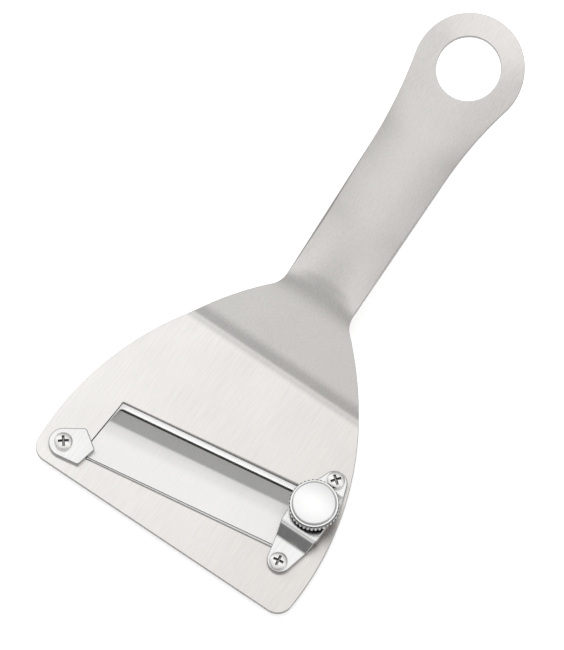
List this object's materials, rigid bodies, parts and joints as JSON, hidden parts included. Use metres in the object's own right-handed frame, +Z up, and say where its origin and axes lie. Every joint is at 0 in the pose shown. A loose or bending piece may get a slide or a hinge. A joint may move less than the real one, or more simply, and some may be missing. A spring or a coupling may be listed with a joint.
{
  "type": "cheese slicer",
  "caption": "Steel cheese slicer with a fan-shaped head, a slanted blade in a window, a knurled knob that sets the slice thickness, and a cranked handle with a hang hole.",
  "frame": {"origin": "on the surface below the middle of the whole tool, level with the blade's cutting edge as it is set at rest", "axes": "+Y from the head's front edge towards the end of the handle, +X to the side that carries the knob, +Z up, away from the cheese"},
  "size_m": [0.1016, 0.2002, 0.0431],
  "materials": {
    "sheet_steel": "brushed lengthwise",
    "blade_steel": "finely ground",
    "polished_steel": "polished",
    "screw_steel": "bright zinc",
    "knob_plating": "satin chrome",
    "stud_steel": "turned",
    "washer_brass": "satin",
    "spring_steel": "dark spring steel",
    "nut_brass": "turned"
  },
  "bodies": {
    "frame": {"body": "sheet_steel", "blade_clip": "polished_steel", "clip_screw": "screw_steel", "adjuster_bridge": "polished_steel", "bridge_screws": "screw_steel", "thrust_washer": "washer_brass"},
    "thumb_screw": {"adjuster_knob": "knob_plating", "adjuster_stud": "stud_steel", "retaining_ring": "spring_steel"},
    "nut": {"lift_nut": "nut_brass"},
    "cutter": {"blade": "blade_steel"}
  },
  "joints": [
    {"name": "thumb_screw_turn", "type": "hinge", "parent": "frame", "child": "thumb_screw", "pos_m": [0.0389, -0.06431, 0.00371], "axis": [0, 0, 1], "range_deg": [-480, 500]},
    {"name": "nut_lift", "type": "slide", "parent": "frame", "child": "nut", "axis": [0, 0, 1], "range_m": [-0.001, 0.00096]},
    {"name": "blade_tilt", "type": "hinge", "parent": "frame", "child": "cutter", "pos_m": [-0.00034, -0.08425, 0.0029], "axis": [0.9893, 0.1461, 0], "range_deg": [-4.1, 3.9]}
  ],
  "couplings": [
    {"joint": "nut_lift", "follows": "thumb_screw_turn", "m_per_rad": -0.00011141},
    {"joint": "blade_tilt", "follows": "thumb_screw_turn", "ratio": -0.0079577}
  ]
}
